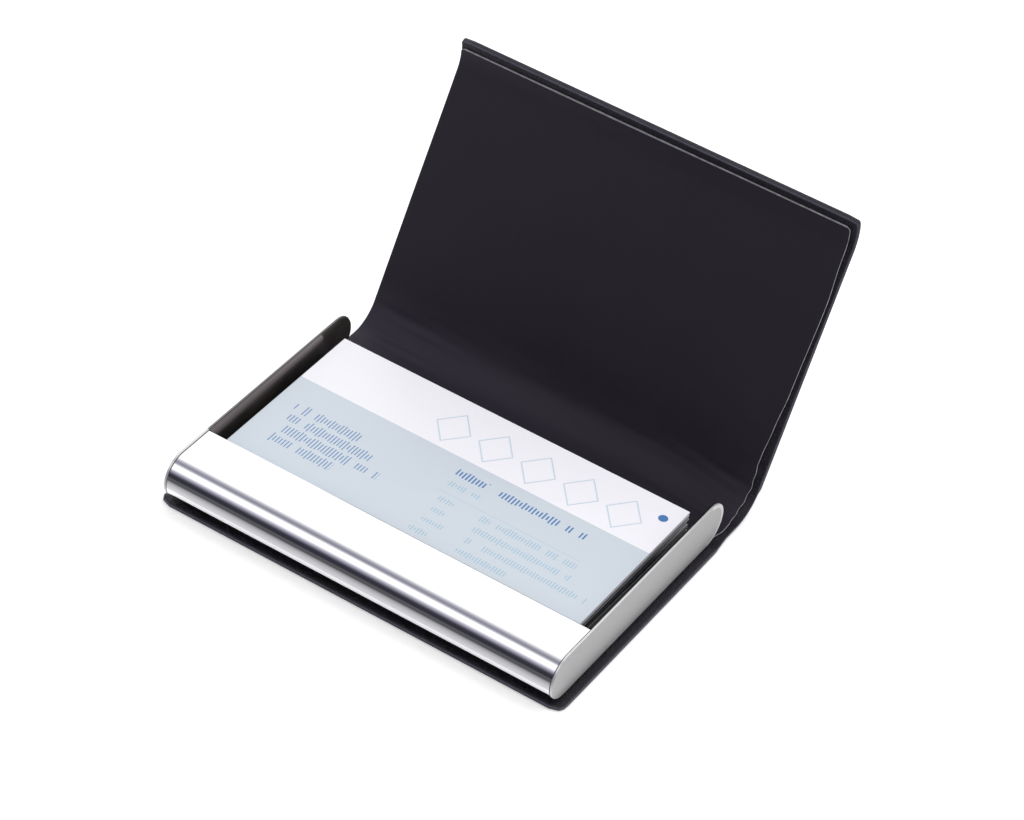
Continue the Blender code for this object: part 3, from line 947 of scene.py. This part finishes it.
def lining_swell(x, distance):
    """How far the lining bulges towards the cards: soft creases at both ends of the bend."""
    sizes = cover_sizes()
    turned = sizes.bend * sizes.lean
    past = smooth(distance, turned - 1 * MM, turned + 6 * MM)
    zone = smooth(distance, -4.5 * MM, 0.0) * (1 - past)
    ends = smooth(np.abs(x), 14 * MM, 43 * MM)
    across, along = x / MM, distance / MM
    wander = 0.9 * np.sin(across * 0.13 + 0.6) + 0.5 * np.sin(across * 0.31 + 2.0)
    waves = np.sin(along * 1.15 + wander) + 0.55 * np.sin(along * 2.3 + 0.22 * across + wander)
    lid = smooth(distance, turned, turned + 8 * MM)
    slack = 0.035 * np.sin(x * 47.0 + distance * 31.0)
    slack = slack + 0.025 * np.sin(x * 97.0 - distance * 71.0 + 1.2)
    return ((0.018 + 0.085 * ends) * waves * zone + slack * lid) * MM


TOP_POINTS = 61
EDGE_POINTS = 4
LINING_MARGINS = {
    # distance along the cover, and how far the lining stays inside the leather there, by side
    1: (
        (-12, 2.4), (-7.5, 2.3), (-3.5, 1.35), (3, 1.8), (9, 1.65), (15, 2.1),
        (22, 1.7), (30, 1.2), (50, 0.8), (60, 1.3), (68, 1.5),
    ),
    -1: ((-12, 2.4), (-6, 0.6), (-4, 0.30), (10, 0.22), (30, 0.20), (56, 0.28)),
}


def lining_half(distance, side, end):
    """Half width of the lining: eased from one listed margin to the next, round at its corner."""
    places = LINING_MARGINS[side]
    margin = places[0][1] + 0 * distance
    for (low, before), (high, after) in zip(places, places[1:]):
        margin = margin + (after - before) * smooth(distance, low * MM, high * MM)
    ripple = smooth(distance, -3 * MM, 3 * MM) * (1 - smooth(distance, 10 * MM, 18 * MM))
    margin = margin + (0.06 + 0.05 * side) * np.sin(distance / MM * 1.9 + side) * ripple
    radius = 1.0 * MM
    over = np.clip(1 - np.abs(end - distance) / radius, 0.0, 1.0)
    return cover_half(distance) - margin * MM - radius * (1 - np.sqrt(1 - over * over))


def lining_sheet(name, start, end, material):
    """A soft sheet on the cover's inner face: rings across it, one at each station.

    Each ring runs over the swollen top face, round a small edge, and back below.
    """
    sizes = cover_sizes()
    rows = path_stations(start, end)
    ease = 0.09 * MM
    turn = np.radians(np.linspace(0, 90, EDGE_POINTS + 1))
    across = np.linspace(-1, 1, TOP_POINTS)
    right = lining_half(rows, 1, end)[:, None]
    left = lining_half(rows, -1, end)[:, None]
    width = np.where(across < 0, left, right)
    top_x = across * (width - ease)
    fade = 1 - smooth(np.abs(across), 0.93, 1.0)
    top_depth = -lining_swell(top_x, rows[:, None]) * fade
    down_x = right - ease + ease * np.sin(turn[1:])
    down_depth = ease * (1 - np.cos(turn[1:])) + 0 * down_x
    low = sizes.lining
    below = np.linspace(1, -1, 9)
    bottom_x = below * (np.where(below < 0, left, right) - 0.02 * MM)
    bottom_depth = low + 0 * bottom_x
    up_x = -(left - ease + ease * np.sin(turn[::-1][:-1]))
    up_depth = ease * (1 - np.cos(turn[::-1][:-1])) + 0 * up_x
    x = np.concatenate([top_x, down_x, bottom_x, up_x], axis=1)
    depth = np.concatenate([top_depth, down_depth, bottom_depth, up_depth], axis=1)
    distance = rows[:, None] + 0 * x
    flat = np.stack([x, distance + 0.7 * depth], axis=-1)
    rings = on_cover(x, distance, depth)
    raw = np.zeros(x.shape)
    raw[:, TOP_POINTS : TOP_POINTS + EDGE_POINTS] = 1.0
    raw[:, -EDGE_POINTS:] = 1.0
    raw[-1] = 1.0
    piece = closed_loft(name, rings, material, flat, flip=end < start, sharp=50)
    point_values(piece, "raw_edge", raw)
    return piece


def grained(name, tone, cell, depth, dull):
    """Black coated leather: pebbles with fine creases between them, worn smoother on their tops."""

    def pebbles(shader):
        return shader.creases(shader.sheet_place(), 1 / cell).step(0.0, 0.28)

    def tint(shader):
        place = shader.sheet_place()
        wear_and_painted_light = shader.noise(place, 55.0, 4.0).step(0.45, 0.75)
        base = shader.mix(wear_and_painted_light, tone, scaled(tone, 1.35))
        base = shader.mix((1 - pebbles(shader)) * 0.6, base, scaled(tone, 0.45))
        edge = shader.attribute("worn_edge")
        patchy = 0.6 + shader.noise(place, 260.0, 3.0).step(0.3, 0.7) * 0.4
        # Painted shade on the flat border, where it lies recessed next to the lining
        base = shader.mix((0.0 - edge).step(0.0, 1.0) * 0.25, base, (0.002, 0.002, 0.003))
        # Painted highlight along the roundings of the folded edges, patchy
        return shader.mix(edge.step(0.1, 0.9) * patchy, base, cover_sizes().wear_and_painted_light)

    def roughness(shader):
        patches = shader.noise(shader.sheet_place(), 90.0, 3.0)
        return dull + patches * 0.12 - pebbles(shader) * 0.06

    def relief(shader):
        fine = shader.noise(shader.sheet_place(), 1.7 / cell, 3.0, 0.6)
        return shader.bump(pebbles(shader) * 0.7 + fine * 0.5, depth, 0.9)

    constants = {"Specular_IOR_Level": 0.34, "Specular_Tint": (0.92, 0.88, 1.0, 1.0)}
    return surface(name, tint, roughness, relief, **constants)


def lining_finish(sizes):
    """Smooth coated lining: a very fine grain, soft cloudy sheen, painted sheen, and a paler cut
    edge.
    """
    tone = sizes.inside

    def tint(shader):
        place = shader.sheet_place()
        cloud = shader.noise(place, 28.0, 4.0, 0.6).step(0.3, 0.75)
        fine = shader.noise(place, 3200.0, 2.0)
        base = shader.mix(cloud, scaled(tone, 0.85), scaled(tone, 1.3))
        across, along, _ = shader.parts(place)
        # Painted sheen: lighter up the lid and towards the left end
        painted_sheen = along.step(15 * MM, 66 * MM) * 0.65 + (0.0 - across).step(-10 * MM, 48 * MM) * 0.4
        base = shader.mix(painted_sheen, base, scaled(tone, 1.9))
        # Painted sheen across the bend, strongest towards the left end
        bend = along.step(-6 * MM, 0.0) * (1 - along.step(7 * MM, 14 * MM))
        bend = bend * (0.35 + (0.0 - across).step(-20 * MM, 46 * MM) * 0.65)
        base = shader.mix(bend * 0.9, base, scaled(tone, 2.7))
        base = shader.mix(fine.step(0.4, 0.8) * 0.4, base, scaled(tone, 1.8))
        cut = shader.attribute("raw_edge")
        frayed = shader.noise(place, 700.0, 3.0).step(0.25, 0.7)
        return shader.mix(cut.step(0.25, 0.8) * (0.45 + frayed * 0.55), base, sizes.raw)

    def roughness(shader):
        return 0.50 + shader.noise(shader.sheet_place(), 45.0, 4.0) * 0.16

    def relief(shader):
        place = shader.sheet_place()
        fine = shader.noise(place, 2600.0, 3.0, 0.6)
        cells = shader.creases(place, 3600.0).step(0.0, 0.3)
        return shader.bump(fine * 0.6 + cells * 0.4, 0.010 * MM, 0.6)

    return surface("lining_finish", tint, roughness, relief, Specular_IOR_Level=0.25)


def leather_finish(sizes):
    return grained("leather_finish", sizes.leather, 0.7 * MM, 0.10 * MM, 0.36)


def bend_at(piece):
    """Bakes the piece's placement into its points, leaving it at the origin."""
    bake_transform(piece)


class MakeSkin(bpy.types.Operator):
    """Adds the outer leather, in two halves that meet in the middle of the spine"""

    bl_idname = "card_case.skin"
    bl_label = "Outer leather"

    def execute(self, context):
        sizes = cover_sizes()
        finish = leather_finish(sizes)
        front = COVER_LOW[1] - sizes.bend_start
        base = folded_skin("cover_skin_base", 0.0, front, sizes.base_corner, finish)
        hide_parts("base_skin", "spine_skin")
        bend_at(base)
        lid = folded_skin("cover_skin_lid", 0.0, cover_end(), sizes.lid_corner, finish)
        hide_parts("lid_skin")
        bend_at(lid)
        return {"FINISHED"}


class MakeLining(bpy.types.Operator):
    """Adds the lining, in two halves that meet in the middle of the spine"""

    bl_idname = "card_case.lining"
    bl_label = "Lining"

    def execute(self, context):
        sizes = cover_sizes()
        finish = lining_finish(sizes)
        front = COVER_LOW[1] - sizes.bend_start + sizes.front_margin
        base = lining_sheet("cover_lining_base", 0.0, front, finish)
        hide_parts("base_lining", "spine_lining")
        bend_at(base)
        lid = lining_sheet("cover_lining_lid", 0.0, cover_end() - sizes.end_margin, finish)
        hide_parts("lid_lining")
        bend_at(lid)
        return {"FINISHED"}


def board_finish(sizes):
    """Grey board with long fibres."""
    tone = sizes.board

    def tint(shader):
        fibres = shader.streaks((900, 260, 900), 4.0)
        return shader.mix(fibres.step(0.3, 0.75), scaled(tone, 0.7), tone)

    relief = grainy(1800.0, 4.0, 0.03 * MM, 0.6)
    return surface("board_finish", tint, patchy(0.8, 0.15, 600.0, 2.0), relief)


def magnet_finish(sizes):
    """Nickel plating, dulled in patches."""
    metal = sizes.nickel

    def plating(shader):
        return shader.mix(shader.object_noise(700.0, 3.0), metal, scaled(metal, 0.85))

    return surface("magnet_finish", plating, patchy(0.22, 0.2, 1500.0, 3.0), None, Metallic=1.0)


class MakeHidden(bpy.types.Operator):
    """Gives the boards and magnets inside the cover their finishes"""

    bl_idname = "card_case.hidden"
    bl_label = "Boards and magnets"

    def execute(self, context):
        sizes = cover_sizes()
        board = board_finish(sizes)
        nickel = magnet_finish(sizes)
        for name in ("base_board", "lid_board"):
            dress(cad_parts[name], board)
        for name in ("lid_magnet_left", "lid_magnet_right"):
            dress(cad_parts[name], nickel)
        return {"FINISHED"}


# The stage

FLOOR_REACH = 3.0
LENS = 138.05
CAMERA_PLACE = (0.288872, -0.516437, 0.532985)
CAMERA_RIGHT = (0.833741, 0.542892, 0.100715)
CAMERA_DOWN = (0.418428, -0.502204, -0.756775)
CAMERA_FORWARD = (-0.360268, 0.673097, -0.645870)

ROOM = (
    # height over the front horizon in degrees, and the brightness there in mirror-like surfaces
    (-20, (0.036, 0.036, 0.050)),
    (13, (0.036, 0.036, 0.050)),
    (19, (0.072, 0.070, 0.10)),
    (25, (0.24, 0.235, 0.29)),
    (31, (0.46, 0.45, 0.53)),
    (37, (0.79, 0.78, 0.87)),
    (42, (1.30, 1.30, 1.30)),
    (62, (1.30, 1.30, 1.30)),
    (69, (0.52, 0.515, 0.58)),
    (76, (0.28, 0.28, 0.34)),
    (82, (0.36, 0.36, 0.42)),
    (89, (0.58, 0.58, 0.64)),
    (101, (1.30, 1.30, 1.30)),
    (180, (1.30, 1.30, 1.30)),
)
DIM_FLOOR = (
    # place along Y in metres, and the floor's tone there in mirror-like surfaces
    (-0.059, (0.022, 0.022, 0.030)),
    (-0.0545, (0.20, 0.195, 0.21)),
    (-0.048, (0.36, 0.35, 0.365)),
    (-0.041, (0.55, 0.54, 0.555)),
    (-0.036, (0.80, 0.79, 0.80)),
    (-0.034, (1.50, 1.50, 1.50)),
    (-0.029, (1.50, 1.50, 1.50)),
    (-0.024, (0.93, 0.93, 0.935)),
    (0.040, (0.93, 0.93, 0.935)),
    (0.062, (0.40, 0.40, 0.41)),
    (0.090, (0.28, 0.28, 0.29)),
)


FLOOR_START, FLOOR_SPAN = -0.1, 0.2


def studio_world(sizes):
    """An even white room.  Mirror-like surfaces see a panel overhead and a dim room in front."""
    world = bpy.data.worlds.new("studio")
    world.use_nodes = True
    world.node_tree.nodes.clear()
    shader = Shader(world.node_tree)
    direction = shader.node("ShaderNodeTexCoord").outputs["Generated"]
    _, y, z = shader.parts(direction)
    height = z.angle_from(0.0 - y) / math.pi
    share = (height + 1.0) * 0.5
    stops = [((degrees + 180) / 360, tone) for degrees, tone in ROOM]
    ramp = shader.node("ShaderNodeValToRGB", {"stops": stops}, {0: share})
    rays = shader.node("ShaderNodeLightPath")
    glossy = shader.value(rays, "Is Glossy Ray")
    camera = shader.value(rays, "Is Camera Ray")
    tone = shader.mix(glossy, (sizes.world,) * 3, ramp.outputs[0])
    tone = shader.mix(camera, tone, (1.0, 1.0, 1.0))
    background = shader.node("ShaderNodeBackground", None, {"Color": tone, "Strength": 1.0})
    shader.node("ShaderNodeOutputWorld", None, {"Surface": background.outputs[0]})
    bpy.context.scene.world = world


def pale_floor(sizes):
    """Matt pale floor with lifted shadows.  Mirrors see it dim before and behind the case."""
    tone = sizes.floor

    def tint(shader):
        y = shader.parts(shader.object_place())[1]
        rays = shader.node("ShaderNodeLightPath")
        glossy = shader.value(rays, "Is Glossy Ray")
        stops = [((place - FLOOR_START) / FLOOR_SPAN, shade) for place, shade in DIM_FLOOR]
        share = (y - FLOOR_START) / FLOOR_SPAN
        ramp = shader.node("ShaderNodeValToRGB", {"stops": stops}, {0: share})
        return shader.mix(glossy, tone, ramp.outputs[0])

    def glow(shader):
        """Lifts the shadows: full for the camera, weak for the light that the floor gives back."""
        seen = shader.value(shader.node("ShaderNodeLightPath"), "Is Camera Ray")
        return shader.mix(seen, (0.25, 0.25, 0.25), (1.0, 1.0, 1.0))

    constants = {"Specular_IOR_Level": 0.0, "Emission_Strength": 0.34}
    return surface("floor_finish", tint, 0.9, None, glow, **constants)


class MakeStage(bpy.types.Operator):
    """Adds the pale floor, the soft light and the camera"""

    bl_idname = "card_case.stage"
    bl_label = "Floor, light and camera"

    def execute(self, context):
        scene = context.scene
        sizes = scene.card_case_stage
        corners = FLOOR_REACH * np.array([(-1, -1, 0), (1, -1, 0), (1, 1, 0), (-1, 1, 0)])
        floor = finish_piece("floor", corners, [[0, 1, 2, 3]], pale_floor(sizes))
        studio_world(sizes)

        light = bpy.data.lights.new("overhead_panel", "AREA")
        light.shape = "RECTANGLE"
        light.size = 1.2
        light.size_y = 0.9
        light.energy = sizes.key
        panel = placed("overhead_panel", light)
        panel.location = (0.35, 0.45, 1.1)
        panel.rotation_euler = (math.radians(-22), math.radians(18), 0)
        panel.visible_glossy = False

        camera = bpy.data.cameras.new("camera")
        camera.lens = LENS
        camera.sensor_width = 36.0
        camera.clip_start = 0.01
        camera.clip_end = 20.0
        viewer = placed("camera", camera)
        turn = np.eye(4)
        turn[:3, 0] = CAMERA_RIGHT
        turn[:3, 1] = -np.array(CAMERA_DOWN)
        turn[:3, 2] = -np.array(CAMERA_FORWARD)
        turn[:3, 3] = CAMERA_PLACE
        viewer.matrix_world = Matrix(turn.tolist())
        scene.camera = viewer
        scene.view_settings.view_transform = "Standard"
        return {"FINISHED"}


OPERATORS = (MakeTray, MakePlates, MakeCards, MakeSkin, MakeLining, MakeHidden, MakeStage)
GROUPS = {
    "card_case_tray": TraySizes,
    "card_case_cards": CardSizes,
    "card_case_cover": CoverSizes,
    "card_case_stage": StageSizes,
}


class CardCasePanel(bpy.types.Panel):
    """Lists the pieces of the card case"""

    bl_idname = "VIEW3D_PT_card_case"
    bl_label = "Business card case"
    bl_space_type = "VIEW_3D"
    bl_region_type = "UI"
    bl_category = "Card case"

    def draw(self, context):
        for operator in OPERATORS:
            self.layout.operator(operator.bl_idname)


def register():
    for group in (*GROUPS.values(), *OPERATORS, CardCasePanel):
        bpy.utils.register_class(group)
    for name, group in GROUPS.items():
        setattr(bpy.types.Scene, name, bpy.props.PointerProperty(type=group))


def unregister():
    for name in GROUPS:
        delattr(bpy.types.Scene, name)
    for group in (CardCasePanel, *reversed(OPERATORS), *GROUPS.values()):
        bpy.utils.unregister_class(group)


def main():
    register()
    bpy.ops.card_case.stage()
    bpy.ops.card_case.tray()
    bpy.ops.card_case.plates()
    bpy.ops.card_case.cards()
    bpy.ops.card_case.skin()
    bpy.ops.card_case.lining()
    bpy.ops.card_case.hidden()


if __name__ == "__main__":
    main()
